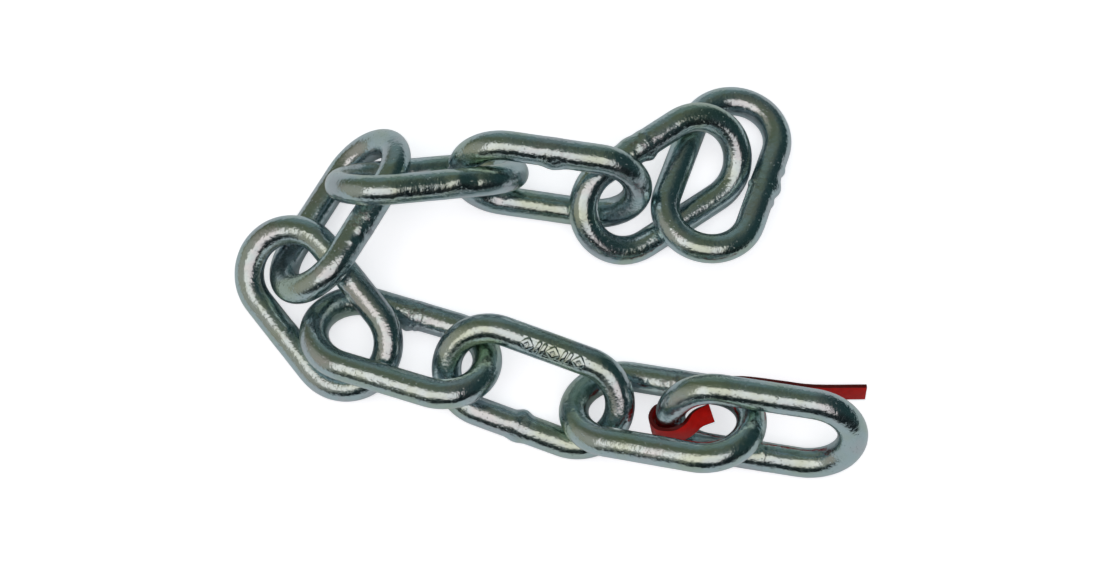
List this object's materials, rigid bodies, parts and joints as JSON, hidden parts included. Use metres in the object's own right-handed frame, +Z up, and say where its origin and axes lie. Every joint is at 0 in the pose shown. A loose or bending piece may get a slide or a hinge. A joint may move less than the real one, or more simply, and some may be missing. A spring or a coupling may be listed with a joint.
{
  "type": "heap of iron chain",
  "caption": "Short length of round-wire welded chain, bright zinc plated, lying in a loose curved heap with a narrow plastic tie strap hitched round an end link.",
  "frame": {"origin": "on the floor, under the middle of the outline of the whole heap", "axes": "+X along the heap's long side, from the middle of the bend towards the two chain ends; +Y from the strapped row towards the other row; +Z up from the floor"},
  "size_m": [0.1712, 0.1125, 0.0358],
  "materials": {
    "zinc_plated_iron": "bright zinc plate, faintly pitted, with a yellow-green tint",
    "red_plastic": "smooth deep red"
  },
  "bodies": {
    "root": {"link_01": "zinc_plated_iron", "link_02": "zinc_plated_iron", "link_03": "zinc_plated_iron", "link_04": "zinc_plated_iron", "link_05": "zinc_plated_iron", "link_06": "zinc_plated_iron", "link_07": "zinc_plated_iron", "link_08": "zinc_plated_iron", "link_09": "zinc_plated_iron", "link_10": "zinc_plated_iron", "tie_strap": "red_plastic"}
  },
  "joints": []
}
